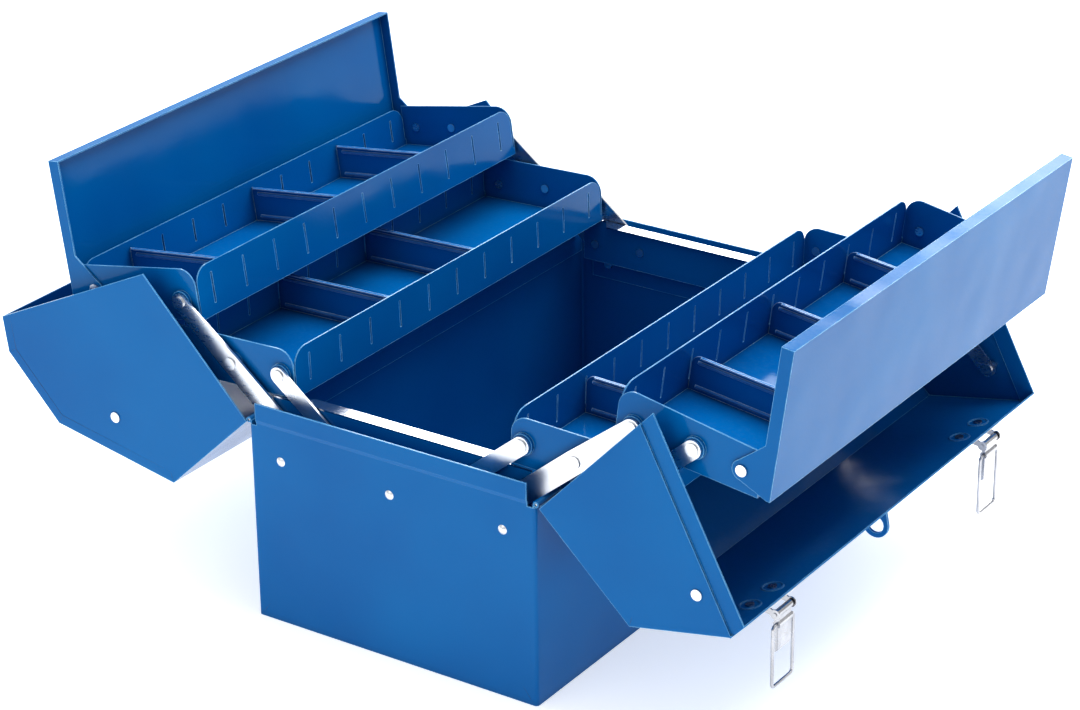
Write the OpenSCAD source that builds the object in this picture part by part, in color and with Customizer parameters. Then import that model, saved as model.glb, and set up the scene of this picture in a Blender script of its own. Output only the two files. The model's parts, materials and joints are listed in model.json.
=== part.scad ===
// Cantilever tool box in sheet steel, drawn wide open: two roof wings, four trays on two pairs
// of link sets, and a folding cover on each upper tray. Origin at the middle of the floor of the
// box, Z up, Y along the box, X across it. Sizes in millimetres.

/* [Box] */
// Length of the box over its end panels
box_l = 460; // [400:5:560]
// Width of the box over its side walls
box_w = 262; // [256:1:270]
// Height of the side walls
wall_h = 164.5; // [150:0.5:180]
// Thickness of the body and wing sheet
sheet = 1.2; // [0.9:0.1:1.3]
// Height of the raised band along the top of each end panel
band_h = 14; // [10:1:16]
// How far each band stops short of the corners
band_cut = 7; // [5:1:12]

/* [Wings] */
// Height of a wing's wall when shut
wing_wall = 106.5; // [104:0.5:112]
// Slope of the roof when shut
roof_a = 35.5; // [33:0.5:37]
// Length of the slope on the wing that shuts first
slope_r = 86; // [80:1:88]
// Length of the slope on the wing that shuts last
slope_l = 119; // [116:1:121]
// Width of the flat top
top_w = 70; // [66:1:72]
// Length of the edge that laps over the other slope
lap_edge = 30; // [24:1:31]
// Width of the folded lip of the wing that shuts first
lip_w = 14; // [10:1:16]
// How far each end plate passes the middle when shut
end_pass = 6.5; // [5:0.5:9]
// Angle through which a wing opens
wing_open = 133.5; // [120:0.5:134]

/* [Linkage] */
// Distance of the long link's fixed pivot in from the side wall
pivot_in = 24.5; // [24:0.5:25]
// Drop of the long link's fixed pivot below the wall's top
pivot_drop = 2.5; // [2:0.5:3]
// Slope of the long link when open
link_a = 39.5; // [38.5:0.5:40]
// Length of the long link to the lower tray's pivot
link_low = 65; // [64.5:0.5:65.5]
// Length of the long link to the upper tray's pivot
link_up = 127; // [126:0.5:128]
// Width of the long link at its lower end
link_w = 18; // [14:1:18]
// Width of the short links, the upper links and the tip of the long link
link_w2 = 14; // [12:1:15]
// Thickness of the links
link_t = 2; // [1.5:0.1:2.2]
// Diameter of the pivot rivets
rivet_d = 5; // [4:0.5:6]
// Gap round a rivet in a bore that turns on it
bore_gap = 0.08; // [0.05:0.01:0.1]
// Gap between pieces that slide face to face
side_gap = 0.3; // [0.2:0.05:0.4]

/* [Trays] */
// Gap between the tray ends and the link bracket plates
tray_gap = 0.8; // [0.6:0.1:1.2]
// Thickness of the tray sheet
tray_t = 1; // [0.8:0.1:1.1]
// Width of the lower trays
low_w = 122.5; // [118:0.5:123]
// Width of the upper trays
up_w = 118; // [112:1:119]
// Height of the lower trays
low_h = 39; // [34:1:40]
// Height of the upper trays at the side near the middle
up_h = 42; // [38:1:42]
// Drop of the upper trays' outer wall
up_drop = 6; // [4:1:10]
// Slope of an open lower tray
low_tilt = 2; // [1:0.5:3]
// Slope of an open upper tray
up_tilt = 7.5; // [6:0.5:8]
// Radius of the trays' top corners
tray_r = 14; // [12:1:16]
// Spacing of the divider slots
slot_pitch = 38.6; // [34:0.2:39]
// Width of a divider slot
slot_w = 1.8; // [1.6:0.1:2.4]

/* [Tray covers] */
// Height of a cover's panel when open
cover_h = 119; // [110:1:120]
// Depth of a cover's folded edges
cover_lip = 10; // [8:0.5:10.5]
// Lean of an open cover's panel from the level
cover_a = 82; // [80:0.5:84]

/* [Catches] */
// Distance of each catch from the end of the box
catch_in = 67.8; // [60:0.2:90]
// Width of a catch's base plate
catch_w = 46; // [42:1:52]
// Width of a catch's wire loop
loop_w = 29; // [29:1:31]
// Length of a catch's wire loop
loop_l = 50; // [46:1:54]
// Diameter of the loop's wire
wire_d = 2.6; // [2:0.1:3]

/* [Handle and lock eye] */
// Length of the handle's grip
grip_l = 110; // [90:5:130]
// Distance of the grip from its pivots
grip_out = 36; // [32:1:40]
// Bore of the lock eye
eye_bore = 14; // [10:0.5:15]

/* [Hidden] */
$fn = 48;
hl = box_l / 2;
hw = box_w / 2;

// Depths measured inwards from the face of an end panel
plate_d = 0.3;                          // wing end plate
strip_d = plate_d + sheet + side_gap;   // lapped edge of the right wing's end plate
link_d = 12;                            // long, short and upper links
wing_link_d = link_d - link_t - 0.4;    // wing links
bracket_d = link_d + link_t + 1;        // bracket plate
tray_d = bracket_d + sheet + tray_gap;  // tray end
cover_d = tray_d - side_gap - sheet;    // cover end
stud_r = rivet_d / 2;
bore_r = stud_r + bore_gap;
head_r = rivet_d;
head_t = 1.2;

// Hinge line of the wings, just clear of the side walls
hinge_x = hw + 0.5;
hinge_z = wall_h + 3;
knuckle_r = 2.2;
pin_r = 1.1;
leaf_t = 1;
leaf_h = 18;
leaf_gap = 0.4;
fold_r = 3;      // fold at the body's corners
knuckles = 15;
knuckle_l = box_l / knuckles;

// Places of the other pivots, each measured from the pivot that carries its tray
short_in = 46;
short_up = 1;
fixed_in = 45.39;
fixed_up = 1.96;
upper_out = 48.35;
upper_down = 6.35;
loose_out = 50.2;
loose_down = 3.3;
cover_out = 88.3;
cover_down = 10.4;
foot_out = 110.9;
foot_down = 29.2;
// Inner wall and floor of each tray, from its pivot
low_in = -57.5;
low_foot = -19;
up_in = -15;
up_foot = -16;

function turn(p, a) = [p[0] * cos(a) - p[1] * sin(a), p[0] * sin(a) + p[1] * cos(a)];
function polar(r, a) = [r * cos(a), r * sin(a)];
function unit(v) = v / norm(v);
function side(a, b) = let (u = unit(b - a)) [-u[1], u[0]];
// Points of a line moved sideways by t, mitred at its bends
function moved(p, t) = [for (i = [0:len(p) - 1])
    let (a = side(p[max(i - 1, 0)], p[max(i, 1)]),
         b = side(p[min(i, len(p) - 2)], p[min(i + 1, len(p) - 1)]))
    p[i] + t * (a + b) / (1 + a * b)];
// Outline of a sheet of thickness t folded along a line
function folded(p, t) = let (q = moved(p, t)) concat(p, [for (i = [len(q) - 1:-1:0]) q[i]]);

// Pivots in the open pose, right side, as [x, z]
P1 = [hw - pivot_in, wall_h - pivot_drop];
Q1 = P1 + polar(link_low, link_a);
S1 = P1 + polar(link_up, link_a);
Q2 = Q1 + [-short_in, short_up];         // short link on the lower tray
P2 = P1 + [-fixed_in, fixed_up];         // short link on the box, so placed that it fits open and shut
Q3 = Q1 + [upper_out, -upper_down];      // upper and wing links on the lower tray
S2 = S1 + [loose_out, -loose_down];      // upper link on the upper tray
cover_pivot = S1 + [cover_out, -cover_down];
cover_foot = S1 + [foot_out, -foot_down];

// Wing profiles when shut, from the hinge line, each on its own side
wing_x = 0;
wing_z = sheet * 2 + 1.1;
right_line = [[wing_x, wing_z], [wing_x, wing_wall + 3],
    [wing_x, wing_wall + 3] + polar(slope_r, 180 - roof_a),
    [wing_x, wing_wall + 3] + polar(slope_r, 180 - roof_a) + [-lip_w, 0]];
left_line = [[wing_x, wing_z], [wing_x, wing_wall + 3],
    [wing_x, wing_wall + 3] + polar(slope_l, 180 - roof_a - 0.5),
    [wing_x, wing_wall + 3] + polar(slope_l, 180 - roof_a - 0.5) + [-top_w, 0],
    [wing_x, wing_wall + 3] + polar(slope_l, 180 - roof_a - 0.5) + [-top_w, 0]
        + polar(lap_edge, 180 + roof_a)];
plate_foot = 3.6;
strip_w = 14;

// Extrudes an outline drawn across the box between two depths from the near end
module across(d0, d1) {
    translate([0, -hl + d1, 0]) rotate([90, 0, 0]) linear_extrude(d1 - d0) children();
}

// Extrudes an outline drawn across the box over its whole length, less d at each end
module along(d) {
    translate([0, hl - d, 0]) rotate([90, 0, 0]) linear_extrude(box_l - 2 * d) children();
}

module both_ends() {
    children();
    mirror([0, 1, 0]) children();
}

module left_side() {
    mirror([1, 0, 0]) children();
}

// A round bar or disc on a pivot at [x, z], between two depths
module disc(p, r, d0, d1) {
    translate([p[0], -hl + d1, p[1]]) rotate([90, 0, 0]) cylinder(r = r, h = d1 - d0);
}

// Puts a piece drawn from a pivot where the pivot is, turned clockwise by a
module at(p, a = 0) {
    translate([p[0], 0, p[1]]) rotate([0, a, 0]) children();
}

module wing_place() {
    at([hinge_x, hinge_z], wing_open) children();
}

// Flat rectangle with round corners
module round_rect(w, l, r) {
    square([w - 2 * r, l], center = true);
    square([w, l - 2 * r], center = true);
    for (x = [-1, 1], y = [-1, 1])
        translate([x * (w / 2 - r), y * (l / 2 - r)]) circle(r);
}

module body_shell() color("royalblue") {
    difference() {
        linear_extrude(wall_h) round_rect(box_w, box_l, fold_r);
        translate([0, 0, sheet]) linear_extrude(wall_h)
            round_rect(box_w - 2 * sheet, box_l - 2 * sheet, fold_r - sheet);
        both_ends() foot_holes();
    }
    both_ends()
        translate([-hw + band_cut, -hl, 0]) rotate([90, 0, 90])
            linear_extrude(box_w - 2 * band_cut)
                polygon([[sheet, wall_h - 1], [0, wall_h - 1], [0, wall_h + 2],
                    [-sheet, wall_h + 5], [-sheet, wall_h + 5 + band_h],
                    [0, wall_h + 5 + band_h], [0, wall_h + 5.3], [sheet, wall_h + 2.3]]);
}

bracket_w = box_w - 26;
lip_half = hw - 35;
bracket_top = wall_h + band_h + 7;
shelf_z = wall_h - 16.5;    // shelf between the foot and the upright plate
foot_z = wall_h - 38.5;     // lower edge of the foot
rivet_z = wall_h - 25;
rivet_x = hw - 29;
rivet_r = 2;
// Link bracket: a foot on the end panel, a shelf, an upright plate and a folded lip
module bracket() color("royalblue") {
    translate([-hw + band_cut, 0, 0]) difference() {
        translate([hw - band_cut - bracket_w / 2, -hl, 0]) cube([bracket_w, bracket_d + sheet, bracket_top]);
        translate([0, -hl - 1, -1]) cube([box_w, 1 + sheet, bracket_top + 2]);
        translate([0, -hl, -1]) cube([box_w, bracket_d + sheet + 1, foot_z + 1]);
        translate([0, -hl + 2 * sheet, 0]) cube([box_w, bracket_d, shelf_z - sheet]);
        translate([0, -hl, shelf_z]) cube([box_w, bracket_d, bracket_top]);
    }
    intersection() {
        translate([-lip_half, -hl + bracket_d, bracket_top - sheet]) cube([2 * lip_half, 12, sheet]);
        translate([0, -hl + bracket_d, bracket_top - sheet]) linear_extrude(sheet)
            polygon([[-lip_half, 0], [lip_half, 0], [lip_half - 8, 12], [-lip_half + 8, 12]]);
    }
}

module front_bracket() difference() {
    bracket();
    for (x = [-1, 1], p = [P1, P2]) disc([x * p[0], p[1]], stud_r, link_d, tray_d);
    foot_holes();
}

// Holes for the rivets that hold the bracket's foot to the end panel
module foot_holes() {
    for (x = [-1, 0, 1]) disc([x * rivet_x, rivet_z], rivet_r, -1, 4);
}

module rear_bracket() mirror([0, 1, 0]) front_bracket();

module bracket_rivets() color("silver") both_ends() for (x = [-1, 0, 1]) {
    disc([x * rivet_x, rivet_z], rivet_r, 0, 2 * sheet + 1);
    disc([x * rivet_x, rivet_z], 3.8, 2 * sheet, 2 * sheet + 1);
    translate([x * rivet_x, -hl, rivet_z]) rotate([90, 0, 0]) intersection() {
        translate([0, 0, -4.2]) sphere(5.7);
        cylinder(r = 6, h = 2);
    }
}

module fixed_pivots() color("silver") both_ends() for (x = [-1, 1], p = [P1, P2]) {
    pivot(([x * p[0], p[1]]), bracket_d);
    disc([x * p[0], p[1]], head_r, link_d + link_t + side_gap / 2, bracket_d);
}

// Rivet with a head outside the links, a shank through a plate at depth d, and a tail
module pivot(p, d) {
    disc(p, head_r, link_d - side_gap / 2 - head_t, link_d - side_gap / 2);
    disc(p, stud_r, link_d - side_gap / 2 - head_t, d + sheet + 0.8);
    disc(p, stud_r + 1.2, d + sheet, d + sheet + 0.8);
}

// A hinge leaf with knuckles, flat against the inside of a sheet; first is 0 or 1
// the body's leaf lies against the wall's inner face, the wing's against the sheet's
module leaf(first, up) {
    leaf_x = up > 0 ? -knuckle_r : hw - sheet - leaf_t - hinge_x;
    leaf_end = up > 0 ? plate_d + sheet : fold_r;
    tab_h = knuckle_r + leaf_gap + 0.3;
    for (i = [first:2:knuckles - 1]) translate([0, -hl + i * knuckle_l + side_gap / 2, 0]) {
        difference() {
            union() {
                rotate([-90, 0, 0]) cylinder(r = knuckle_r, h = knuckle_l - side_gap);
                translate([leaf_x, 0, up > 0 ? 0 : -tab_h])
                    cube([leaf_t, knuckle_l - side_gap, tab_h]);
            }
            translate([0, -1, 0]) rotate([-90, 0, 0]) cylinder(r = pin_r + bore_gap, h = knuckle_l + 2);
        }
    }
    translate([leaf_x, -hl + leaf_end, up > 0 ? knuckle_r + leaf_gap : -knuckle_r - leaf_gap - leaf_h])
        cube([leaf_t, box_l - 2 * leaf_end, leaf_h]);
}

module body_hinge_leaves() color("royalblue") for (x = [0, 1]) mirror([x, 0, 0])
    translate([hinge_x, 0, hinge_z]) leaf(0, -1);

module hinge_pins() color("silver") for (x = [0, 1]) mirror([x, 0, 0])
    translate([hinge_x, hl - 1, hinge_z]) rotate([90, 0, 0]) cylinder(r = pin_r, h = box_l - 2);

module right_wing_leaf() color("royalblue") wing_place() leaf(1, 1);

module left_wing_leaf() left_side() right_wing_leaf();

// Wing link's stud on a wing's end plate, from the hinge line when shut
wing_stud = [-69.3, 121];
R1 = placed(wing_stud);

module stud_bores() for (y = [-1, 1]) mirror([0, y > 0 ? 1 : 0, 0])
    disc(wing_stud, stud_r, 0, 5);

rivet_slope = 71;    // catch rivets up the slope
function on_slope(s, out) = [wing_x, wing_wall + 3] + polar(s, 180 - roof_a) + polar(out, 90 - roof_a);
edge_x = -hinge_x - end_pass;
module right_wing() color("royalblue") wing_place() difference() {
    union() {
        along(plate_d) polygon(folded(right_line, sheet));
        both_ends() {
            across(plate_d, plate_d + sheet) polygon([[wing_x, plate_foot], right_line[1], right_line[2],
                right_line[3] + [strip_w, 0] , [edge_x + strip_w, plate_foot]]);
            across(strip_d, strip_d + sheet) polygon([right_line[3] + [strip_w + sheet, 0], right_line[3],
                [edge_x, plate_foot], [edge_x + strip_w + sheet, plate_foot]]);
            across(plate_d, strip_d + sheet) polygon([right_line[3] + [strip_w + sheet, 0],
                right_line[3] + [strip_w, 0], [edge_x + strip_w, plate_foot], [edge_x + strip_w + sheet, plate_foot]]);
        }
    }
    stud_bores();
    // the lip stops short of the other wing's end plates
    both_ends() across(-1, strip_d) translate(right_line[3] - [1, 2 * sheet])
        square([lip_w - 1, 3 * sheet]);
    for (y = catch_rivets) translate([on_slope(rivet_slope, 0)[0], y, on_slope(rivet_slope, 0)[1]])
        rotate([0, roof_a, 0]) cylinder(r = 2, h = 8, center = true);
}

catch_ys = [-hl + catch_in, hl - catch_in];
catch_rivets = [for (y = catch_ys, s = [-1, 1]) y + s * 16];

module left_wing() color("royalblue") left_side() wing_place() difference() {
    union() {
        along(plate_d) polygon(folded(left_line, sheet));
        both_ends() across(plate_d, plate_d + sheet)
            polygon([[wing_x, plate_foot], left_line[1], left_line[2], left_line[3], left_line[4],
                [edge_x, plate_foot]]);
    }
    stud_bores();
}

module wing_studs() color("silver") both_ends() {
    disc(wing_stud, head_r - 0.6, plate_d - 0.9, plate_d);
    disc(wing_stud, stud_r, plate_d - 0.9, plate_d + sheet);
    disc(wing_stud, stud_r + 1, plate_d + sheet, wing_link_d - side_gap);
}

module right_wing_studs() wing_place() wing_studs();
module left_wing_studs() left_side() wing_place() wing_studs();

// Flat link from the origin along X with round ends, on its pivots r and l
module link_shape(l, w1, w2, mid = 0) {
    polygon([[0, -w1 / 2], [mid, -w1 / 2], [l, -w2 / 2], [l, w2 / 2], [mid, w1 / 2], [0, w1 / 2]]);
    circle(w1 / 2);
    translate([l, 0]) circle(w2 / 2);
}

function slope_of(a, b) = atan2(b[1] - a[1], b[0] - a[0]);

module long_links() color("silver") both_ends() difference() {
    at(P1, -link_a) across(link_d, link_d + link_t) link_shape(link_up, link_w, link_w2, link_low);
    disc(P1, bore_r, link_d - 1, link_d + link_t + 1);
    for (p = [Q1, S1]) disc(p, stud_r, link_d - 1, link_d + link_t + 1);
}

module long_link_rivets() color("silver") both_ends() for (p = [Q1, S1]) {
    disc(p, head_r, link_d - head_t, link_d);
    disc(p, stud_r, link_d - head_t, tray_d + tray_t + side_gap + 0.8);
    disc(p, stud_r + 1.2, tray_d + tray_t + side_gap, tray_d + tray_t + side_gap + 0.8);
}

module short_links() color("silver") both_ends() difference() {
    at(P2, -slope_of(P2, Q2)) across(link_d, link_d + link_t)
        link_shape(norm(Q2 - P2), link_w2, link_w2);
    disc(P2, bore_r, link_d - 1, link_d + link_t + 1);
    disc(Q2, stud_r + 1, link_d - 1, link_d + link_t + 1);
}

module upper_links() color("silver") both_ends() {
    difference() {
        at(Q3, -slope_of(Q3, S2)) across(link_d, link_d + link_t)
            link_shape(norm(S2 - Q3), link_w2, link_w2);
        disc(Q3, bore_r, link_d - 1, link_d + link_t + 1);
        disc(S2, stud_r + 1.8, link_d - 1, link_d + link_t + 1);
    }
}

module wing_links() color("silver") both_ends() {
    difference() {
        at(Q3, -slope_of(Q3, R1)) across(wing_link_d, wing_link_d + link_t)
            link_shape(norm(R1 - Q3), 13, 13);
        disc(Q3, bore_r, wing_link_d - 1, wing_link_d + link_t + 1);
    }
    disc(R1, head_r - 0.6, wing_link_d + link_t, wing_link_d + link_t + head_t);
}

// End outline of a tray from its pivot, its top corner near the middle rounded
module tray_end(x0, w, z0, h, drop) {
    polygon([[x0, z0], [x0 + w, z0], [x0 + w, z0 + h - drop], [x0 + tray_r, z0 + h],
        [x0, z0 + h - tray_r]]);
    translate([x0 + tray_r, z0 + h - tray_r]) circle(tray_r);
}

// Tray: floor, ends with their pivot bosses, long walls with round ends and divider slots
module tray(x0, w, z0, h, drop) {
    along(tray_d) polygon(folded([[x0 + w, z0 + 1], [x0 + w, z0], [x0, z0], [x0, z0 + 1]], -tray_t));
    both_ends() across(tray_d, tray_d + tray_t) tray_end(x0, w, z0, h, drop);
    long_wall(x0, z0, h);
    long_wall(x0 + w - tray_t, z0, h - drop);
}

corner_gap = 1.2;
module long_wall(x, z0, h) {
    l = box_l - 2 * (tray_d + tray_t + corner_gap);
    translate([x, 0, z0]) rotate([90, 0, 90]) linear_extrude(tray_t) difference() {
        union() {
            translate([-l / 2, 0]) square([l, h - tray_r]);
            translate([-l / 2 + tray_r, 0]) square([l - 2 * tray_r, h]);
            for (y = [-1, 1]) translate([y * (l / 2 - tray_r), h - tray_r]) circle(tray_r);
            translate([-l / 2 - corner_gap - tray_t, 0]) square([l + 2 * (corner_gap + tray_t), 6]);
        }
        for (i = [-5:5]) translate([i * slot_pitch - slot_w / 2, 9]) square([slot_w, h - 17]);
    }
}

// Raised ring round a pivot on a tray end
module boss(p) {
    disc(p, 8.5, link_d + link_t + side_gap, tray_d + tray_t / 2);
}

module lower_tray() color("royalblue") at(Q1, low_tilt) difference() {
    union() {
        tray(low_in, low_w, low_foot, low_h, 0);
        both_ends() for (p = [[0, 0], q2_t, q3_t]) boss(p);
    }
    both_ends() {
        disc([0, 0], bore_r, link_d, tray_d + 3);
        for (p = [q2_t, q3_t]) disc(p, stud_r, link_d, tray_d + 3);
    }
}
q2_t = turn(Q2 - Q1, low_tilt);
q3_t = turn(Q3 - Q1, low_tilt);

// Studs fixed in a lower tray: one for the short link, one for the upper and wing links
module lower_studs() color("silver") both_ends() {
    disc(Q2, head_r, link_d - side_gap / 2 - head_t, link_d - side_gap / 2);
    disc(Q2, stud_r, link_d - side_gap / 2 - head_t, tray_d + tray_t + 0.8);
    disc(Q3, head_r - 0.6, wing_link_d - side_gap / 2 - head_t, wing_link_d - side_gap / 2);
    disc(Q3, stud_r, wing_link_d - side_gap / 2 - head_t, tray_d + tray_t + 0.8);
    for (p = [Q2, Q3]) disc(p, stud_r + 1.2, tray_d + tray_t, tray_d + tray_t + 0.8);
}

module upper_tray() color("royalblue") at(S1, up_tilt) difference() {
    union() {
        tray(up_in, up_w, up_foot, up_h, up_drop);
        both_ends() for (p = [[0, 0], s2_t]) boss(p);
    }
    both_ends() {
        disc([0, 0], bore_r, link_d, tray_d + 3);
        for (p = [c_t, s2_t]) disc(p, stud_r, cover_d - 2, tray_d + 3);
    }
}
s2_t = turn(S2 - S1, up_tilt);
c_t = turn(cover_pivot - S1, up_tilt);

// Studs fixed in an upper tray: one for the cover, one loose in the upper link's wide hole
module upper_studs() color("silver") both_ends() {
    disc(S2, head_r, link_d - side_gap / 2 - head_t, link_d - side_gap / 2);
    disc(S2, stud_r, link_d - side_gap / 2 - head_t, tray_d + tray_t + 0.8);
    disc(S2, stud_r + 1.2, tray_d + tray_t, tray_d + tray_t + 0.8);
    disc(cover_pivot, head_r - 0.6, cover_d - side_gap - 1, cover_d - side_gap);
    disc(cover_pivot, stud_r, cover_d - side_gap - 1, tray_d + tray_t + 0.8);
    disc(cover_pivot, stud_r + 1.2, tray_d + tray_t, tray_d + tray_t + 0.8);
}

// Divider plate across a tray with a folded top edge and two pressed beads
module divider(x0, w, z0, h, drop, slot) {
    x1 = x0 + tray_t + side_gap;
    x2 = x0 + w - tray_t - side_gap;
    z1 = z0 + tray_t + side_gap;
    z2 = z0 + h - drop - 6;
    translate([0, slot * slot_pitch, 0]) {
        translate([0, tray_t / 2, 0]) rotate([90, 0, 0]) linear_extrude(tray_t) {
            polygon([[x1, z1], [x2, z1], [x2, z2], [x1 + 8, z2], [x1, z2 - 8]]);
            translate([x1 + 8, z2 - 8]) circle(8);
        }
        for (z = [z1 + 4, z2 - 5]) translate([x1 + 6, -tray_t / 2, z])
            rotate([0, 90, 0]) cylinder(r = 1.3, h = x2 - x1 - 12);
        translate([x1 + 8, -2.4, z2 - 1]) cube([x2 - x1 - 10, 2.4, 1]);
    }
}

module lower_dividers(slots) color("royalblue") at(Q1, low_tilt)
    for (s = slots) divider(low_in, low_w, low_foot, low_h, 0, s);

module upper_dividers(slots) color("royalblue") at(S1, up_tilt)
    for (s = slots) divider(up_in, up_w, up_foot, up_h, up_drop, s);

// Cover: panel, folded top edge and two end flanges with ears, drawn from the panel's foot
// with u up the panel and n towards the tray
ear = let (v = cover_pivot - cover_foot) [v * polar(1, cover_a), v * polar(1, cover_a + 90)];
ear_r = 8;
module cover() color("royalblue") difference() {
    at(cover_foot, -cover_a) {
        along(cover_d) polygon(folded([[0, 3], [0, 0], [cover_h, 0], [cover_h, cover_lip]], sheet));
        both_ends() across(cover_d, cover_d + sheet) {
            polygon([[0, 0], [0, 3], ear + polar(ear_r, 150), ear + polar(ear_r, 60),
                [ear[0] + 26, cover_lip], [cover_h, cover_lip], [cover_h, 0]]);
            translate(ear) circle(ear_r);
        }
    }
    both_ends() disc(cover_pivot, bore_r, cover_d - 1, cover_d + sheet + 0.1);
}

// Catch: a base plate riveted on the slope near its edge, with ears that carry the lever
function placed(p) = [hinge_x, hinge_z] + turn(p, -wing_open);
catch_pivot = placed(on_slope(slope_r + 2, 7));
loop_pivot = catch_pivot + [0, -9];
lever_l = 30;
lever_w = 19;
pin2_r = 1.5;
module catch_bases() color("silver") for (y = catch_ys) translate([0, y, 0]) difference() {
    union() {
        wing_place() {
            translate([on_slope(62, 0)[0], 0, on_slope(62, 0)[1]]) rotate([0, roof_a - 180, 0])
                translate([0, -catch_w / 2, -sheet]) cube([24, catch_w, sheet]);
            translate([on_slope(rivet_slope, 0)[0], 0, on_slope(rivet_slope, 0)[1]]) for (s = [-1, 1])
                translate([0, s * 16, 0]) rotate([0, roof_a, 0]) {
                    translate([0, 0, -sheet - 1]) cylinder(r = 2, h = 2 * sheet + 2);
                    translate([0, 0, sheet]) cylinder(r = 3.6, h = 1);
                    translate([0, 0, -sheet - 1]) cylinder(r = 3.4, h = 1);
                }
        }
        for (s = [-1, 1]) translate([0, s * 11.6 + sheet / 2, 0]) rotate([90, 0, 0]) linear_extrude(sheet) {
            translate(catch_pivot) circle(4);
            polygon([catch_pivot + [4, 0], placed(on_slope(slope_r - 2, sheet)),
                placed(on_slope(slope_r - 18, sheet)), catch_pivot + [-4, -1]]);
        }
    }
    translate([catch_pivot[0], 20, catch_pivot[1]]) rotate([90, 0, 0])
        cylinder(r = pin2_r, h = 40);
}

// Lever hanging from its pin, which it turns on
module catch_lever(y) color("silver") translate([0, y, 0]) {
    translate([catch_pivot[0], 12.8, catch_pivot[1]]) rotate([90, 0, 0]) cylinder(r = pin2_r, h = 25.6);
    translate([0, lever_w / 2, 0]) rotate([90, 0, 0]) difference() {
        linear_extrude(lever_w) {
            translate(catch_pivot) circle(2.8);
            polygon([catch_pivot + [-1.4, 0], catch_pivot + [1.4, 0], loop_pivot + [1.4, 2],
                catch_pivot + [1.4, -lever_l], catch_pivot + [-1, -lever_l - 2], loop_pivot + [-1.4, 2]]);
            translate(loop_pivot) circle(3);
        }
        translate([loop_pivot[0], loop_pivot[1], -1])
            cylinder(r = wire_d / 2 + bore_gap, h = lever_w + 2);
    }
}

module front_catch_lever() catch_lever(catch_ys[0]);
module rear_catch_lever() catch_lever(catch_ys[1]);

module catch_loop(y) color("silver") translate([loop_pivot[0], y, loop_pivot[1]]) {
    for (z = [0, -loop_l]) translate([0, loop_w / 2, z]) rotate([90, 0, 0]) cylinder(r = wire_d / 2, h = loop_w);
    for (s = [-1, 1]) translate([0, s * loop_w / 2, -loop_l]) {
        cylinder(r = wire_d / 2, h = loop_l);
        sphere(wire_d / 2);
        translate([0, 0, loop_l]) sphere(wire_d / 2);
    }
}

module front_catch_loop() catch_loop(catch_ys[0]);
module rear_catch_loop() catch_loop(catch_ys[1]);

// Lock eye standing on the slope near its edge, midway between the catches
eye_slope = 74;
eye_r = 11;
module lock_eye() color("royalblue") wing_place()
    translate([on_slope(eye_slope, 0)[0], 0, on_slope(eye_slope, 0)[1]]) rotate([0, roof_a, 0]) {
        translate([-eye_r, -9, 0]) cube([2 * eye_r, 18, sheet]);
        rotate([90, 0, 0]) linear_extrude(2.4, center = true) difference() {
            union() {
                translate([0, eye_r]) circle(eye_r);
                translate([-eye_r, 0]) square([2 * eye_r, eye_r]);
            }
            translate([0, eye_r]) circle(eye_bore / 2);
        }
    }

// Hooks near the edge of the last wing to shut, one for each catch
module catch_hooks() color("dimgray") left_side() wing_place()
    for (y = catch_ys) translate([0, y, 0]) translate([left_line[3][0], 0, left_line[3][1]])
        rotate([0, -roof_a + 180, 0]) translate([8, -12, -3.6])  {
            difference() {
                cube([16, 24, 3.6]);
                translate([4, -1, 0]) cube([13, 26, 2.4]);
            }
        }

// Handle brackets on the flat top, on its outer face, and the handle hanging from them
handle_pivot = [left_line[3][0] + top_w / 2, left_line[3][1] + 7];
handle_world = placed(handle_pivot);
rod_d = 7;
module handle_brackets() color("silver") left_side() wing_place() for (s = [-1, 1])
    translate([handle_pivot[0], s * (grip_l / 2 + 14), handle_pivot[1]]) rotate([90, 0, 0]) difference() {
        linear_extrude(10, center = true) {
            circle(6.5);
            translate([-6.5, -7]) square([13, 7]);
            translate([-14, -7]) square([28, 2]);
        }
        cylinder(r = rod_d / 2 + bore_gap, h = 30, center = true);
    }

module handle_rod() color("silver") left_side() translate([handle_world[0], 0, handle_world[1]]) {
    for (s = [-1, 1]) mirror([0, s > 0 ? 1 : 0, 0]) {
        translate([0, -grip_l / 2 - 4, 0]) rotate([90, 0, 0]) cylinder(r = rod_d / 2, h = 17);
        translate([0, -grip_l / 2 - 4, -grip_out]) cylinder(r = rod_d / 2, h = grip_out);
        translate([0, -grip_l / 2 - 4, 0]) sphere(rod_d / 2);
        translate([0, -grip_l / 2 - 4, -grip_out]) sphere(rod_d / 2);
    }
    translate([0, grip_l / 2 + 4, -grip_out]) rotate([90, 0, 0]) cylinder(r = rod_d / 2, h = grip_l + 8);
}

module handle_grip() color("dimgray") left_side()
    translate([handle_world[0], grip_l / 2 - 1, handle_world[1] - grip_out]) rotate([90, 0, 0]) difference() {
        cylinder(r = 9, h = grip_l - 2);
        translate([0, 0, -1]) cylinder(r = rod_d / 2, h = grip_l);
    }

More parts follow.
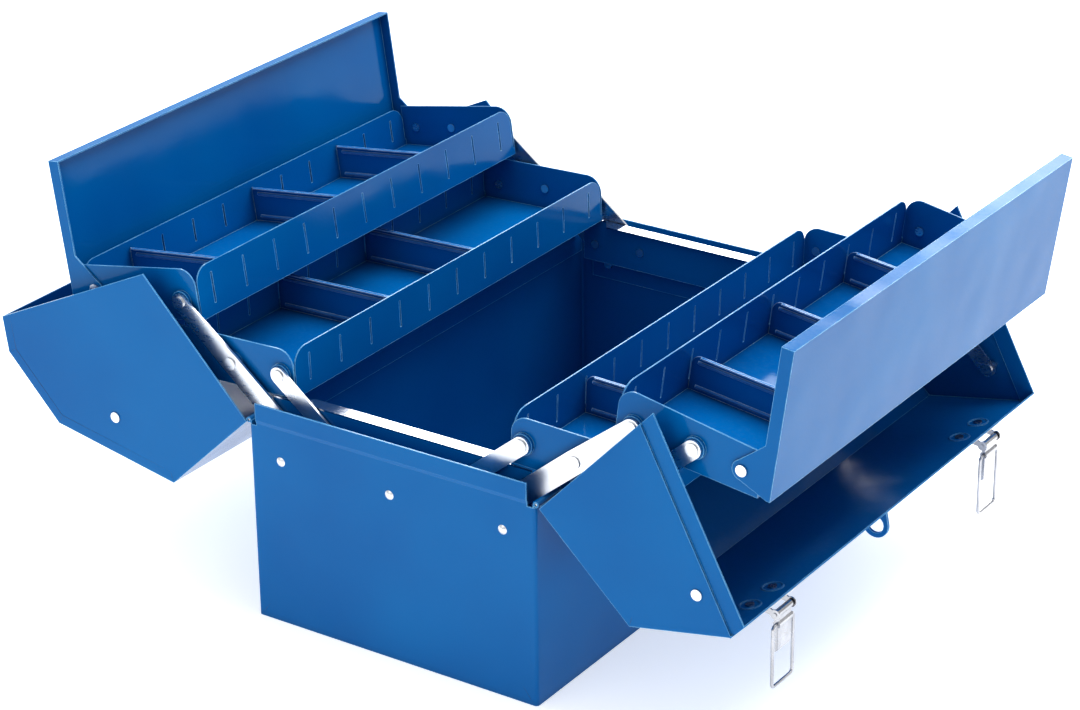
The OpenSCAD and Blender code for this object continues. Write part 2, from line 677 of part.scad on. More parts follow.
module right_long_links() long_links();
module right_long_link_rivets() long_link_rivets();
module right_short_links() short_links();
module right_upper_links() upper_links();
module right_wing_links() wing_links();
module right_lower_tray() lower_tray();
module right_lower_studs() lower_studs();
module right_lower_dividers() lower_dividers([-3]);
module right_upper_tray() upper_tray();
module right_upper_studs() upper_studs();
module right_upper_dividers() upper_dividers([-3, 0, 3]);
module right_cover() cover();
module left_long_links() left_side() long_links();
module left_long_link_rivets() left_side() long_link_rivets();
module left_short_links() left_side() short_links();
module left_upper_links() left_side() upper_links();
module left_wing_links() left_side() wing_links();
module left_lower_tray() left_side() lower_tray();
module left_lower_studs() left_side() lower_studs();
module left_lower_dividers() left_side() lower_dividers([-2, 1]);
module left_upper_tray() left_side() upper_tray();
module left_upper_studs() left_side() upper_studs();
module left_upper_dividers() left_side() upper_dividers([-4, 0, 3]);
module left_cover() left_side() cover();

body_shell();
front_bracket();
rear_bracket();
bracket_rivets();
fixed_pivots();
body_hinge_leaves();
hinge_pins();
right_wing();
right_wing_leaf();
right_wing_studs();
lock_eye();
left_wing();
left_wing_leaf();
left_wing_studs();
catch_hooks();
handle_brackets();
handle_rod();
handle_grip();
right_long_links();
right_long_link_rivets();
right_short_links();
right_upper_links();
right_wing_links();
right_lower_tray();
right_lower_studs();
right_lower_dividers();
right_upper_tray();
right_upper_studs();
right_upper_dividers();
right_cover();
left_long_links();
left_long_link_rivets();
left_short_links();
left_upper_links();
left_wing_links();
left_lower_tray();
left_lower_studs();
left_lower_dividers();
left_upper_tray();
left_upper_studs();
left_upper_dividers();
left_cover();
catch_bases();
front_catch_lever();
front_catch_loop();
rear_catch_lever();
rear_catch_loop();
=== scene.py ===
import json
import math
import bpy
import bmesh
from mathutils import Matrix, Vector


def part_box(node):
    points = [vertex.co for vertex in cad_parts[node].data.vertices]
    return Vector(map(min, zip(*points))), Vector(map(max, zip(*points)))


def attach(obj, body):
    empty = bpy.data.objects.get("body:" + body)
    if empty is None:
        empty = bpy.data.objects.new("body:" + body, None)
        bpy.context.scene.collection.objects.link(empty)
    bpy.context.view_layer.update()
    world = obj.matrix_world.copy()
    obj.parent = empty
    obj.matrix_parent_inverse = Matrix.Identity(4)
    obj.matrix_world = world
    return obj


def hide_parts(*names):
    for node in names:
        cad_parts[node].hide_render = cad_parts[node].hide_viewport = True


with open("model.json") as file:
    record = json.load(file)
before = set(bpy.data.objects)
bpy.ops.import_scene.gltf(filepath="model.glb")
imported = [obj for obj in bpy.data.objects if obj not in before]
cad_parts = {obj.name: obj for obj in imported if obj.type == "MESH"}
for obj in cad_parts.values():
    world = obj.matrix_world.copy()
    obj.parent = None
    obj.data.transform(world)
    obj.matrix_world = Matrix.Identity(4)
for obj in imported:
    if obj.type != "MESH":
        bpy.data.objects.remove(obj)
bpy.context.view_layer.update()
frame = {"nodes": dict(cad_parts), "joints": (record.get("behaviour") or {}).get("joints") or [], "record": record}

nodes = frame["nodes"]
joints = {joint["name"]: joint for joint in frame["joints"]}
print("frame loaded:", len(nodes), "CAD nodes")


def newGroup(name, inputs, outputs):
    tree = bpy.data.node_groups.new(name, "ShaderNodeTree")
    for label, kind, value in inputs:
        socket = tree.interface.new_socket(name=label, in_out="INPUT", socket_type=kind)
        if value is not None:
            socket.default_value = value
    for label, kind in outputs:
        tree.interface.new_socket(name=label, in_out="OUTPUT", socket_type=kind)
    return tree, tree.nodes.new("NodeGroupInput"), tree.nodes.new("NodeGroupOutput")


def addNode(tree, kind, **values):
    node = tree.nodes.new("ShaderNode" + kind)
    for key, value in values.items():
        setattr(node, key, value)
    return node


def mathNode(tree, operation, a, b=None, clamp=False):
    node = addNode(tree, "Math", operation=operation, use_clamp=clamp)
    for place, value in enumerate((a, b)):
        if value is None:
            continue
        if isinstance(value, (int, float)):
            node.inputs[place].default_value = value
        else:
            tree.links.new(value, node.inputs[place])
    return node.outputs[0]


def mapRange(tree, value, low, high, toLow=0.0, toHigh=1.0):
    node = addNode(tree, "MapRange")
    tree.links.new(value, node.inputs["Value"])
    for label, number in (("From Min", low), ("From Max", high), ("To Min", toLow), ("To Max", toHigh)):
        if isinstance(number, (int, float)):
            node.inputs[label].default_value = number
        else:
            tree.links.new(number, node.inputs[label])
    return node.outputs["Result"]


def noiseNode(tree, vector, scale, detail=3.0, roughness=0.5):
    node = addNode(tree, "TexNoise")
    tree.links.new(vector, node.inputs["Vector"])
    if isinstance(scale, (int, float)):
        node.inputs["Scale"].default_value = scale
    else:
        tree.links.new(scale, node.inputs["Scale"])
    node.inputs["Detail"].default_value = detail
    node.inputs["Roughness"].default_value = roughness
    return node.outputs[0]


edgePatches = {"low": 0.3, "high": 0.62, "leastKept": 0.45}


# a mask that is 1 on sharp corners; on the enamel it lays painted highlights along folded and cut edges, on the
# black finishes it lightens the edges
def makeEdgeGroup():
    tree, start, end = newGroup("sharpEdgeMask", [
        ("Radius", "NodeSocketFloat", 0.0012), ("Gain", "NodeSocketFloat", 3.0),
        ("Vector", "NodeSocketVector", None), ("Break Up", "NodeSocketFloat", 60.0)],
        [("Mask", "NodeSocketFloat")])
    bevel = addNode(tree, "Bevel", samples=4)
    shape = addNode(tree, "NewGeometry")
    tree.links.new(start.outputs["Radius"], bevel.inputs["Radius"])
    dot = addNode(tree, "VectorMath", operation="DOT_PRODUCT")
    tree.links.new(bevel.outputs["Normal"], dot.inputs[0])
    tree.links.new(shape.outputs["Normal"], dot.inputs[1])
    turned = mathNode(tree, "SUBTRACT", 1.0, dot.outputs["Value"], clamp=True)
    strong = mathNode(tree, "MULTIPLY", turned, start.outputs["Gain"], clamp=True)
    patch = noiseNode(tree, start.outputs["Vector"], start.outputs["Break Up"], 4.0)
    kept = mapRange(tree, patch, edgePatches["low"], edgePatches["high"], edgePatches["leastKept"])
    tree.links.new(mathNode(tree, "MULTIPLY", strong, kept), end.inputs["Mask"])
    return tree


# stoved enamel: fine orange peel over the slow waviness of thin sheet
def makePeelGroup():
    tree, start, end = newGroup("enamelSurface", [
        ("Vector", "NodeSocketVector", None), ("Peel Scale", "NodeSocketFloat", 420.0),
        ("Peel", "NodeSocketFloat", 0.5), ("Sheet Scale", "NodeSocketFloat", 14.0),
        ("Sheet Waviness", "NodeSocketFloat", 1.0)], [("Height", "NodeSocketFloat")])
    peel = noiseNode(tree, start.outputs["Vector"], start.outputs["Peel Scale"], 2.0)
    sheet = noiseNode(tree, start.outputs["Vector"], start.outputs["Sheet Scale"], 1.0)
    fine = mathNode(tree, "MULTIPLY", peel, start.outputs["Peel"])
    slow = mathNode(tree, "MULTIPLY", sheet, start.outputs["Sheet Waviness"])
    tree.links.new(mathNode(tree, "ADD", fine, slow), end.inputs["Height"])
    return tree


handling = {"smearLow": 0.42, "smearHigh": 0.72, "scratchLow": 0.71, "scratchHigh": 0.74,
            "scratchTurn": (0.4, 0.9, 0.5), "scratchStretch": (1.0, 14.0, 1.0)}


# handling: soft smears and a few hairline scratches
def makeMarksGroup():
    tree, start, end = newGroup("handlingMarks", [
        ("Vector", "NodeSocketVector", None), ("Smear Scale", "NodeSocketFloat", 18.0),
        ("Scratch Scale", "NodeSocketFloat", 90.0)],
        [("Smears", "NodeSocketFloat"), ("Scratches", "NodeSocketFloat")])
    smear = noiseNode(tree, start.outputs["Vector"], start.outputs["Smear Scale"], 5.0, 0.6)
    shown = mapRange(tree, smear, handling["smearLow"], handling["smearHigh"])
    tree.links.new(shown, end.inputs["Smears"])
    stretch = addNode(tree, "Mapping")
    stretch.inputs["Rotation"].default_value = handling["scratchTurn"]
    stretch.inputs["Scale"].default_value = handling["scratchStretch"]
    tree.links.new(start.outputs["Vector"], stretch.inputs["Vector"])
    hair = noiseNode(tree, stretch.outputs["Vector"], start.outputs["Scratch Scale"], 2.0)
    scratched = mapRange(tree, hair, handling["scratchLow"], handling["scratchHigh"])
    tree.links.new(scratched, end.inputs["Scratches"])
    return tree


settling = {"leastUp": 0.35, "mostUp": 0.95, "speckLow": 0.45, "speckHigh": 0.7}


# dust that has settled on faces that look up
def makeDustGroup():
    tree, start, end = newGroup("settledDust", [
        ("Vector", "NodeSocketVector", None), ("Grain", "NodeSocketFloat", 260.0),
        ("Amount", "NodeSocketFloat", 0.1)], [("Mask", "NodeSocketFloat")])
    shape = addNode(tree, "NewGeometry")
    split = addNode(tree, "SeparateXYZ")
    tree.links.new(shape.outputs["Normal"], split.inputs[0])
    facingUp = mapRange(tree, split.outputs["Z"], settling["leastUp"], settling["mostUp"])
    grain = noiseNode(tree, start.outputs["Vector"], start.outputs["Grain"], 6.0, 0.7)
    speck = mapRange(tree, grain, settling["speckLow"], settling["speckHigh"])
    lying = mathNode(tree, "MULTIPLY", facingUp, speck)
    mask = mathNode(tree, "MULTIPLY", lying, start.outputs["Amount"])
    tree.links.new(mask, end.inputs["Mask"])
    return tree


platingTone = {"low": 0.35, "high": 0.65, "grainStretch": (0.18, 1.0, 1.0)}


# plated steel: drawn grain and slow tone changes in the plating
def makePlateGroup():
    tree, start, end = newGroup("platedSteel", [
        ("Vector", "NodeSocketVector", None), ("Grain Scale", "NodeSocketFloat", 700.0),
        ("Tone Scale", "NodeSocketFloat", 45.0)], [("Grain", "NodeSocketFloat"), ("Tone", "NodeSocketFloat")])
    stretch = addNode(tree, "Mapping")
    stretch.inputs["Scale"].default_value = platingTone["grainStretch"]
    tree.links.new(start.outputs["Vector"], stretch.inputs["Vector"])
    grain = noiseNode(tree, stretch.outputs["Vector"], start.outputs["Grain Scale"], 3.0)
    tree.links.new(grain, end.inputs["Grain"])
    tone = noiseNode(tree, start.outputs["Vector"], start.outputs["Tone Scale"], 3.0)
    tree.links.new(mapRange(tree, tone, platingTone["low"], platingTone["high"]), end.inputs["Tone"])
    return tree


# shade that gathers in folds and behind lapped edges
def makeFoldGroup():
    tree, start, end = newGroup("shadeInFolds", [
        ("Reach", "NodeSocketFloat", 0.006), ("Depth", "NodeSocketFloat", 0.5)],
        [("Mask", "NodeSocketFloat")])
    near = addNode(tree, "AmbientOcclusion", samples=6)
    tree.links.new(start.outputs["Reach"], near.inputs["Distance"])
    shut = mathNode(tree, "SUBTRACT", 1.0, near.outputs["AO"], clamp=True)
    shade = mathNode(tree, "MULTIPLY", shut, start.outputs["Depth"], clamp=True)
    tree.links.new(shade, end.inputs["Mask"])
    return tree


effects = {"fold": makeFoldGroup(), "edge": makeEdgeGroup(), "peel": makePeelGroup(),
           "marks": makeMarksGroup(), "dust": makeDustGroup(), "plate": makePlateGroup()}
print("effects built:", len(effects))


def placeGroup(tree, effect, vector, **values):
    node = tree.nodes.new("ShaderNodeGroup")
    node.node_tree = effects[effect]
    if "Vector" in node.inputs:
        tree.links.new(vector, node.inputs["Vector"])
    for label, value in values.items():
        node.inputs[label.replace("_", " ")].default_value = value
    return node


def mixColour(tree, factor, a, b):
    node = addNode(tree, "Mix", data_type="RGBA")
    sockets = {"Factor": factor, "A": a, "B": b}
    wanted = {"Factor": node.inputs[0], "A": node.inputs[6], "B": node.inputs[7]}
    for label, value in sockets.items():
        if isinstance(value, (int, float)):
            wanted[label].default_value = value
        elif isinstance(value, tuple):
            wanted[label].default_value = (*value, 1.0)
        else:
            tree.links.new(value, wanted[label])
    return node.outputs[2]


def newMaterial(name):
    material = bpy.data.materials.new(name)
    material.use_nodes = True
    tree = material.node_tree
    shader = tree.nodes["Principled BSDF"]
    place = addNode(tree, "TexCoord").outputs["Object"]
    return material, tree, shader, place


def bumpFrom(tree, shader, height, distance, strength=1.0):
    bump = addNode(tree, "Bump")
    bump.inputs["Strength"].default_value = strength
    bump.inputs["Distance"].default_value = distance
    tree.links.new(height, bump.inputs["Height"])
    tree.links.new(bump.outputs["Normal"], shader.inputs["Normal"])


# edge and dividerHighlight are painted highlights: light tones laid on sharp edges and on the divider tops
enamel = {"blue": (0.0, 0.137, 0.385), "blueDeep": (0.0, 0.114, 0.345), "edge": (0.34, 0.7, 0.92),
          "dividerHighlight": (0.62, 0.78, 0.95), "fold": (0.0, 0.012, 0.06), "dust": (0.3, 0.42, 0.55),
          "bareLip": (0.5, 0.52, 0.57), "dustAmount": 0.03, "edgeGain": 3.2, "dividerHighlightGain": 9.0,
          "edgeRadius": 0.0011, "driftScale": 7.0, "driftLow": 0.35, "driftHigh": 0.65,
          "roughness": 0.11, "smearRoughness": 0.07, "scratchRoughness": 0.1, "dustRoughness": 0.8,
          "specular": 0.18, "peel": 0.06, "waviness": 1.6, "bumpDistance": 0.0016, "bumpStrength": 0.55}


def makeEnamel(name, edgeGain, edgeHighlightTone, barePlateAbove=None):
    material, tree, shader, place = newMaterial(name)
    cloud = noiseNode(tree, place, enamel["driftScale"], 2.0)
    drift = mapRange(tree, cloud, enamel["driftLow"], enamel["driftHigh"])
    base = mixColour(tree, drift, enamel["blueDeep"], enamel["blue"])
    # painted highlight: sharp edges are lightened towards the edge highlight tone
    edge = placeGroup(tree, "edge", place, Radius=enamel["edgeRadius"], Gain=edgeGain)
    marks = placeGroup(tree, "marks", place)
    film = placeGroup(tree, "dust", place, Amount=enamel["dustAmount"])
    edgeToned = mixColour(tree, edge.outputs["Mask"], base, edgeHighlightTone)
    fold = placeGroup(tree, "fold", place)
    shaded = mixColour(tree, fold.outputs["Mask"], edgeToned, enamel["fold"])
    colour = mixColour(tree, film.outputs["Mask"], shaded, enamel["dust"])
    if barePlateAbove is not None:  # the paint stops below the bracket's lip
        split = addNode(tree, "SeparateXYZ")
        tree.links.new(place, split.inputs[0])
        bare = mathNode(tree, "GREATER_THAN", split.outputs["Z"], barePlateAbove)
        colour = mixColour(tree, bare, colour, enamel["bareLip"])
        tree.links.new(bare, shader.inputs["Metallic"])
    tree.links.new(colour, shader.inputs["Base Color"])
    smear = mathNode(tree, "MULTIPLY", marks.outputs["Smears"], enamel["smearRoughness"])
    hair = mathNode(tree, "MULTIPLY", marks.outputs["Scratches"], enamel["scratchRoughness"])
    dusty = mathNode(tree, "MULTIPLY", film.outputs["Mask"], enamel["dustRoughness"])
    rough = mathNode(tree, "ADD", mathNode(tree, "ADD", smear, hair), dusty)
    tree.links.new(mathNode(tree, "ADD", rough, enamel["roughness"]), shader.inputs["Roughness"])
    peel = placeGroup(tree, "peel", place, Peel=enamel["peel"], Sheet_Waviness=enamel["waviness"])
    bumpFrom(tree, shader, peel.outputs["Height"], enamel["bumpDistance"], enamel["bumpStrength"])
    shader.inputs["Specular IOR Level"].default_value = enamel["specular"]
    return material


zinc = {"bright": (0.9, 0.91, 0.93), "dull": (0.72, 0.74, 0.78), "shade": (0.05, 0.06, 0.08),
        "roughness": 0.2, "grain": 0.16}
nickel = {"bright": (0.62, 0.62, 0.64), "dull": (0.45, 0.45, 0.47), "shade": (0.05, 0.05, 0.06),
          "roughness": 0.2, "grain": 0.1}
plating = {"scratchScale": 160.0, "foldReach": 0.0022, "foldDepth": 0.4, "smearRoughness": 0.1,
           "bumpDistance": 0.00003, "bumpStrength": 0.4}


def makePlated(name, metal):
    material, tree, shader, place = newMaterial(name)
    plate = placeGroup(tree, "plate", place)
    marks = placeGroup(tree, "marks", place, Scratch_Scale=plating["scratchScale"])
    fold = placeGroup(tree, "fold", place, Reach=plating["foldReach"], Depth=plating["foldDepth"])
    tone = mixColour(tree, plate.outputs["Tone"], metal["dull"], metal["bright"])
    colour = mixColour(tree, fold.outputs["Mask"], tone, metal["shade"])
    tree.links.new(colour, shader.inputs["Base Color"])
    spread = mathNode(tree, "MULTIPLY", plate.outputs["Grain"], metal["grain"])
    smear = mathNode(tree, "MULTIPLY", marks.outputs["Smears"], plating["smearRoughness"])
    total = mathNode(tree, "ADD", mathNode(tree, "ADD", spread, smear), metal["roughness"])
    tree.links.new(total, shader.inputs["Roughness"])
    shader.inputs["Metallic"].default_value = 1.0
    bumpFrom(tree, shader, plate.outputs["Grain"], plating["bumpDistance"], plating["bumpStrength"])
    return material


black = {"edge": (0.09, 0.09, 0.1), "dust": (0.4, 0.4, 0.4), "edgeRadius": 0.0008, "edgeGain": 2.0,
         "dustAmount": 0.06, "smearRoughness": 0.15, "peelScale": 900.0, "bumpDistance": 0.0006,
         "bumpStrength": 0.6}


def makeBlack(name, colour, roughness, peelAmount):
    material, tree, shader, place = newMaterial(name)
    marks = placeGroup(tree, "marks", place)
    edge = placeGroup(tree, "edge", place, Radius=black["edgeRadius"], Gain=black["edgeGain"])
    film = placeGroup(tree, "dust", place, Amount=black["dustAmount"])
    edgeToned = mixColour(tree, edge.outputs["Mask"], colour, black["edge"])
    dusted = mixColour(tree, film.outputs["Mask"], edgeToned, black["dust"])
    tree.links.new(dusted, shader.inputs["Base Color"])
    smear = mathNode(tree, "MULTIPLY", marks.outputs["Smears"], black["smearRoughness"])
    tree.links.new(mathNode(tree, "ADD", smear, roughness), shader.inputs["Roughness"])
    peel = placeGroup(tree, "peel", place, Peel_Scale=black["peelScale"], Peel=peelAmount, Sheet_Waviness=0.0)
    bumpFrom(tree, shader, peel.outputs["Height"], black["bumpDistance"], black["bumpStrength"])
    return material


bracketLip = {"depth": 0.0013}
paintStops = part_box("front_bracket")[1].z - bracketLip["depth"]
finishes = {
    "enamel": makeEnamel("stovedBlueEnamel", enamel["edgeGain"], enamel["edge"]),
    "divider": makeEnamel("dividerEnamel", enamel["dividerHighlightGain"], enamel["dividerHighlight"]),
    # foldLine colours the crease ridges dark navy: painted shade along the fold lines and joggles
    "foldLine": makeBlack("foldLineShade", (0.0, 0.02, 0.075), 0.3, 0.2),
    "bracket": makeEnamel("bracketEnamel", enamel["edgeGain"], enamel["edge"], paintStops),
    "zinc": makePlated("brightZincPlate", zinc),
    "nickel": makePlated("nickelPlate", nickel),
    "blackSteel": makeBlack("blackenedSteel", (0.012, 0.012, 0.014), 0.22, 0.2),
    "grip": makeBlack("mouldedGrip", (0.02, 0.02, 0.022), 0.5, 0.9),
}
slotToFinish = {"enamel": "enamel", "zinc": "zinc", "nickel": "nickel",
                "black_steel": "blackSteel", "grip": "grip"}
for part in frame["record"]["subparts"]:
    piece = nodes[part["node"]]
    chosen = finishes[slotToFinish[part["material_slot"]]]
    if part["node"] in ("front_bracket", "rear_bracket"):
        chosen = finishes["bracket"]
    if part["node"].endswith("dividers"):
        chosen = finishes["divider"]
    piece.data.materials.clear()
    piece.data.materials.append(chosen)


def meshPiece(name, vertices, faces, finish, slot, body):
    mesh = bpy.data.meshes.new(name)
    mesh.from_pydata([tuple(vertex) for vertex in vertices], [], faces)
    shape = bmesh.new()
    shape.from_mesh(mesh)
    bmesh.ops.recalc_face_normals(shape, faces=shape.faces)
    shape.to_mesh(mesh)
    shape.free()
    piece = bpy.data.objects.new(name, mesh)
    bpy.context.scene.collection.objects.link(piece)
    mesh.materials.append(finishes[finish])
    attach(piece, body)
    return piece


# several small shapes as the points and faces of one mesh
def joined(parts):
    vertices, faces = [], []
    for points, sides in parts:
        first = len(vertices)
        vertices += points
        faces += [tuple(first + corner for corner in side) for side in sides]
    return vertices, faces


# round points about a centre, in the plane of two unit vectors
def circlePoints(centre, radius, one, two, sides):
    angles = [2 * math.pi * step / sides for step in range(sides)]
    return [centre + one * radius * math.cos(angle) + two * radius * math.sin(angle) for angle in angles]


seams = {"inset": 0.0085, "width": 0.0007, "height": 0.00016, "sink": 0.0003, "tipShare": 0.15,
         "cornerReach": 0.012, "cornerLean": 0.75, "cornerInset": 0.0035, "cornerRise": 0.0015,
         "diagonal": (0.12, 0.5, 1.0), "cornerLine": (0.0, 0.5, 1.0)}


# the ridges made here are drawn in the dark foldLine finish as painted shade lines
# a fold line: a low ridge with tapered ends along a line that lies on a flat face
def crease(points, outward):
    count, lastPoint = len(points), len(points) - 1
    ring = []
    for place, point in enumerate(points):
        before, after = points[max(place - 1, 0)], points[min(place + 1, lastPoint)]
        aside = (after - before).normalized().cross(outward).normalized()
        share = seams["tipShare"] if place in (0, lastPoint) else 1.0
        reach = aside * seams["width"] / 2 * share
        sunk = outward * seams["sink"]
        ring += [point + reach - sunk, point + outward * seams["height"] * share, point - reach - sunk]
    faces = [(0, 1, 2)]
    for step in range(count - 1):
        near, far = step * 3, step * 3 + 3
        for side in range(3):
            after = (side + 1) % 3
            faces.append((near + side, near + after, far + after, far + side))
    end = 3 * lastPoint
    faces.append((end + 2, end + 1, end))
    return ring, faces


# a wire bent along a closed line that lies in the plane square to across
def wireLoop(path, radius, across, sides=14):
    points, faces, count = [], [], len(path)
    for place, point in enumerate(path):
        along = (path[(place + 1) % count] - path[place - 1]).normalized()
        points += circlePoints(point, radius, across, along.cross(across).normalized(), sides)
    for place in range(count):
        near, far = place * sides, ((place + 1) % count) * sides
        for step in range(sides):
            after = (step + 1) % sides
            faces.append((near + step, near + after, far + after, far + step))
    return points, faces


wings = {"wall": 0.1095, "roof": math.radians(35.5), "leftRoofExtra": math.radians(0.5),
         "slopeRight": 0.086, "slopeLeft": 0.119, "top": 0.070, "lap": 0.030, "foot": 0.004,
         "sheet": 0.0012}
wingHinge = joints["right_wing_hinge"]["pos_m"]
wingTurn = -math.radians(joints["right_wing_hinge"]["range_deg"][1])  # from shut to open
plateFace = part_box("right_wing")[1].y


# a point of a wing drawn shut, put where it is when the wing is open
def wingPoint(side, x, z, y=0.0):
    wide = x * math.cos(wingTurn) - z * math.sin(wingTurn) + wingHinge[0]
    high = x * math.sin(wingTurn) + z * math.cos(wingTurn) + wingHinge[2]
    return Vector((wide * side, y, high))


# the end plate's outer corners on a shut wing, from the foot of its wall to its free edge
def wingOutline(side):
    slope = wings["slopeRight"] if side > 0 else wings["slopeLeft"]
    extra = 0.0 if side > 0 else wings["leftRoofExtra"]
    angle = math.pi - wings["roof"] - extra
    corners = [Vector((0.0, wings["foot"])), Vector((0.0, wings["wall"]))]
    corners.append(corners[-1] + slope * Vector((math.cos(angle), math.sin(angle))))
    if side < 0:
        lapDown = Vector((math.cos(wings["roof"]), math.sin(wings["roof"])))
        corners.append(corners[-1] - Vector((wings["top"], 0.0)))
        corners.append(corners[-1] - wings["lap"] * lapDown)
    return corners


# the outline moved inwards, with mitred corners
def insetLine(corners, distance):
    normals = []
    for start, end in zip(corners, corners[1:]):
        along = (end - start).normalized()
        normals.append(Vector((-along.y, along.x)))
    moved = [corners[0] + normals[0] * distance]
    for corner, before, after in zip(corners[1:-1], normals, normals[1:]):
        moved.append(corner + (before + after) * (distance / (1 + before.dot(after))))
    moved.append(corners[-1] + normals[-1] * distance)
    return moved


def makeWingSeams(name, side, body):
    corners = wingOutline(side)
    inner = insetLine(corners, seams["inset"])
    parts = []
    for end in (-1, 1):
        outward = Vector((0, end, 0))
        y = end * plateFace
        if side < 0:  # the left wing alone has a line along its rim
            parts.append(crease([wingPoint(side, x, z, y) for x, z in inner[1:]], outward))
        for corner, root in zip(corners[1:-1], inner[1:-1]):
            spots = [corner + (root - corner) * share for share in seams["diagonal"]]
            parts.append(crease([wingPoint(side, x, z, y) for x, z in spots], outward))
    meshPiece(name, *joined(parts), "foldLine", "enamel", body)


def makeCornerSeams():
    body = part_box("body_shell")[1]
    panelFace = body.y - wings["sheet"]  # the end band stands one sheet proud of the panel
    parts = []
    for end in (-1, 1):
        for side in (-1, 1):
            start = Vector((side * (body.x - seams["cornerInset"]), end * panelFace, seams["cornerRise"]))
            reach = Vector((-side * seams["cornerLean"], 0, 1)) * seams["cornerReach"]
            line = [start + reach * share for share in seams["cornerLine"]]
            parts.append(crease(line, Vector((0, end, 0))))
    meshPiece("bodyCornerSeams", *joined(parts), "foldLine", "enamel", "box")


catches = {"rivetApart": 0.016, "rivetSlope": 0.071, "dimpleRadius": 0.0078, "dimpleWidth": 0.0026,
           "dimpleCrest": 0.4, "dimpleHeight": 0.0007, "dimpleSides": 36,
           "loopWide": 0.029, "bend": 0.0032, "bendSteps": 6}


# a raised ring pressed round a rivet
def dimple(centre, normal):
    one = normal.orthogonal().normalized()
    two = normal.cross(one)
    half, crest = catches["dimpleWidth"] / 2, catches["dimpleWidth"] / 2 * catches["dimpleCrest"]
    profile = [(-half, -seams["sink"]), (-crest, catches["dimpleHeight"]),
               (crest, catches["dimpleHeight"]), (half, -seams["sink"])]
    sides, rows = catches["dimpleSides"], len(profile)
    rings = [circlePoints(centre + normal * high, catches["dimpleRadius"] + out, one, two, sides)
             for out, high in profile]
    points = [ring[step] for step in range(sides) for ring in rings]
    faces = []
    for step in range(sides):
        near, far = step * rows, ((step + 1) % sides) * rows
        for row in range(rows):
            after = (row + 1) % rows
            faces.append((near + row, near + after, far + after, far + row))
    return points, faces


def makeCatchDimples():
    angle = math.pi - wings["roof"]
    inward = Vector((-math.sin(wings["roof"]), -math.cos(wings["roof"])))
    spot = Vector((0.0, wings["wall"])) + catches["rivetSlope"] * Vector((math.cos(angle), math.sin(angle)))
    spot += inward * wings["sheet"]
    normal = (wingPoint(1, *(spot + inward)) - wingPoint(1, *spot)).normalized()
    parts = []
    for catch in ("front_lever_pivot", "rear_lever_pivot"):
        for rivet in (-1, 1):
            y = joints[catch]["pos_m"][1] + rivet * catches["rivetApart"]
            parts.append(dimple(wingPoint(1, *spot, y), normal))
    meshPiece("catchDimples", *joined(parts), "enamel", "enamel", "right_wing")


def makeLoop(name, node, body):
    low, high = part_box(node)
    wire, bend = (high.x - low.x) / 2, catches["bend"]
    middle = (low + high) / 2
    turnY = catches["loopWide"] / 2 - bend  # from the loop's middle to the centre of a bend
    turnZ = (high.z - low.z) / 2 - wire - bend
    path = []
    for quarter, (y, z) in enumerate(((turnY, turnZ), (-turnY, turnZ), (-turnY, -turnZ), (turnY, -turnZ))):
        for step in range(catches["bendSteps"] + 1):
            angle = math.pi / 2 * (quarter + step / catches["bendSteps"])
            path.append(middle + Vector((0, y + bend * math.cos(angle), z + bend * math.sin(angle))))
    loop = meshPiece(name, *wireLoop(path, wire, Vector((1, 0, 0))), "nickel", "nickel", body)
    for face in loop.data.polygons:
        face.use_smooth = True
    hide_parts(node)


makeCornerSeams()
makeWingSeams("leftWingSeams", -1, "left_wing")
makeWingSeams("rightWingSeams", 1, "right_wing")
makeCatchDimples()
makeLoop("frontWireLoop", "front_catch_loop", "front_loop")
makeLoop("rearWireLoop", "rear_catch_loop", "rear_loop")
print("seams, dimples and wire loops made")


floorLook = {"size": 8.0, "colour": (0.86, 0.87, 0.88), "darkShare": 0.985, "roughness": 0.7,
             "glowColour": (0.97, 0.985, 1.0), "glow": 0.5, "drop": 0.0004}


def makeFloor():
    mesh = bpy.data.meshes.new("studioFloor")
    half = floorLook["size"] / 2
    corners = [(-half, -half, 0), (half, -half, 0), (half, half, 0), (-half, half, 0)]
    mesh.from_pydata(corners, [], [(0, 1, 2, 3)])
    floor = bpy.data.objects.new("studioFloor", mesh)
    bpy.context.scene.collection.objects.link(floor)
    material, tree, shader, place = newMaterial("paleFloor")
    tint = mapRange(tree, noiseNode(tree, place, 3.0), 0.3, 0.7)
    pale = floorLook["colour"]
    darker = tuple(part * floorLook["darkShare"] for part in pale)
    tree.links.new(mixColour(tree, tint, pale, darker), shader.inputs["Base Color"])
    shader.inputs["Roughness"].default_value = floorLook["roughness"]
    shader.inputs["Emission Color"].default_value = (*floorLook["glowColour"], 1.0)
    shader.inputs["Emission Strength"].default_value = floorLook["glow"]
    mesh.materials.append(material)
    floor.location.z = -floorLook["drop"]


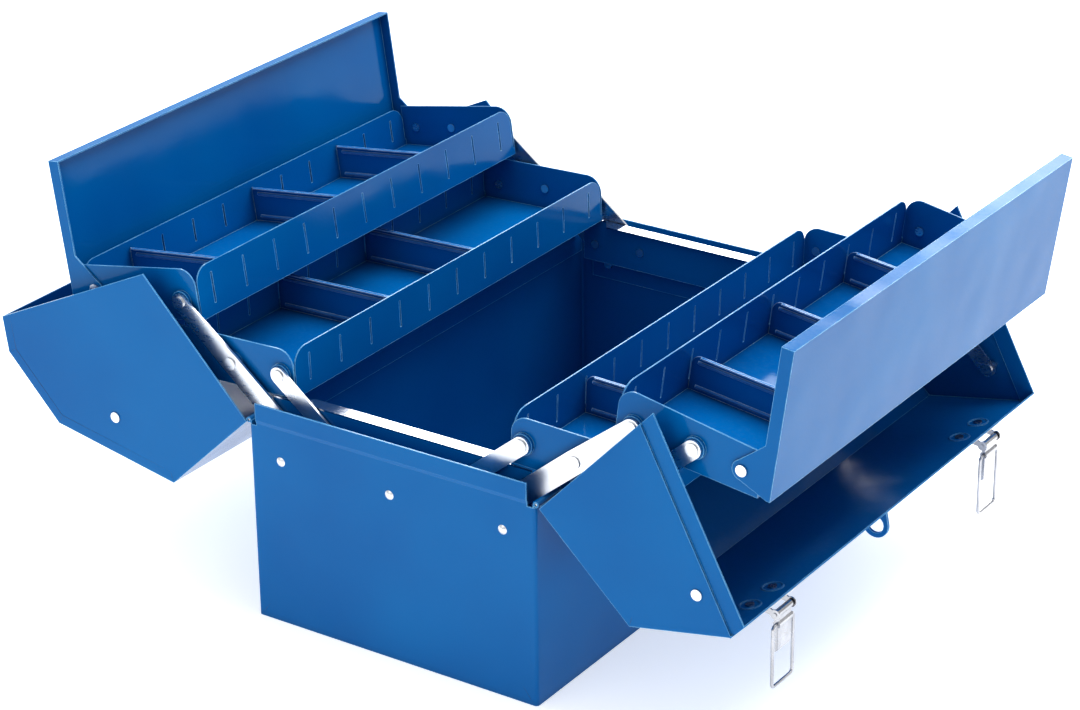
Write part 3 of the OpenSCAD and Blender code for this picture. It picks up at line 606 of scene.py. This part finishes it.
lights = {
    "overheadSoftbox": {"place": (0.1, 0.5, 1.9), "target": (0.0, 0.0, 0.1), "size": (2.2, 1.6),
                        "watts": 40.0},
    "backCard": {"place": (-1.6, 2.3, 1.62), "target": (0.0, 0.0, 0.2), "size": (2.8, 0.9),
                 "watts": 42.0},
    "frontFill": {"place": (-0.6, -2.4, 1.5), "target": (0.0, 0.0, 0.15), "size": (1.6, 1.2),
                  "watts": 5.0},
}


def makeLight(name, lamp):
    data = bpy.data.lights.new(name, "AREA")
    data.shape = "RECTANGLE"
    data.size, data.size_y = lamp["size"]
    data.energy = lamp["watts"]
    light = bpy.data.objects.new(name, data)
    light.location = lamp["place"]
    light.rotation_mode = "QUATERNION"
    aim = Vector(lamp["target"]) - Vector(lamp["place"])
    light.rotation_quaternion = aim.to_track_quat("-Z", "Y")
    bpy.context.scene.collection.objects.link(light)


sky = {"colour": (0.98, 0.99, 1.0), "strength": 0.6}


def makeWorld():
    world = bpy.data.worlds.new("paleStudio")
    world.use_nodes = True
    background = world.node_tree.nodes["Background"]
    background.inputs["Color"].default_value = (*sky["colour"], 1.0)
    background.inputs["Strength"].default_value = sky["strength"]
    bpy.context.scene.world = world


view = {"place": (1.2938, -1.9298, 1.2233), "right": (0.8294, 0.5585, -0.0109),
        "forward": (-0.5121, 0.7524, -0.4143), "lens": 107.4, "sensor": 36.0, "near": 0.05, "far": 50.0}


def makeCamera():
    data = bpy.data.cameras.new("photoCamera")
    data.lens, data.sensor_width = view["lens"], view["sensor"]
    data.clip_start, data.clip_end = view["near"], view["far"]
    camera = bpy.data.objects.new("photoCamera", data)
    forward = Vector(view["forward"]).normalized()
    up = Vector(view["right"]).normalized().cross(forward).normalized()
    right = forward.cross(up)
    turn = Matrix((right, up, -forward)).transposed().to_4x4()
    camera.matrix_world = Matrix.Translation(view["place"]) @ turn
    bpy.context.scene.collection.objects.link(camera)
    bpy.context.scene.camera = camera


makeFloor()
makeWorld()
makeCamera()
for name, lamp in lights.items():
    makeLight(name, lamp)
bpy.context.scene.view_settings.view_transform = "Standard"
bpy.context.scene.view_settings.look = "Medium High Contrast"
print("studio ready")

print("pieces:", len(nodes))
